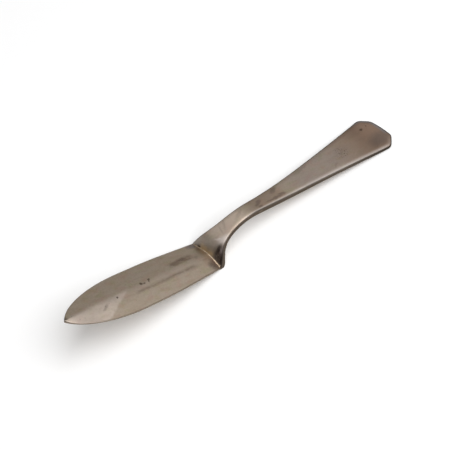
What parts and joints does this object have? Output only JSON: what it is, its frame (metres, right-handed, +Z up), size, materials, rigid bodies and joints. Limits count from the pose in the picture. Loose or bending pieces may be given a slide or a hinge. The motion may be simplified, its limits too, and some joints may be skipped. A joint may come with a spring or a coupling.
{
  "type": "cranked butter knife",
  "caption": "Cranked butter knife: flat leaf-shaped blade, steep bent riser and narrow neck, and a flat flared strap handle with clipped end corners.",
  "frame": {"origin": "on the surface that the knife lies on, under the middle of its box", "axes": "+X from the blade's tip towards the handle's end, +Z up, +Y across the blade; the knife lies as it rests on a table, on its heel and the underside of the handle's end, so the blade slopes up to its tip"},
  "size_m": [0.1758, 0.0214, 0.0235],
  "materials": {
    "blade_plate": "dull silver plate with brown tarnish, fine scratches and small pits",
    "handle_plate": "rubbed silver plate, brown tarnish towards the end, edges worn bright",
    "braze_metal": "dull golden braze, stained"
  },
  "bodies": {
    "root": {"blade": "blade_plate", "handle": "handle_plate", "braze_seam": "braze_metal"}
  },
  "joints": []
}
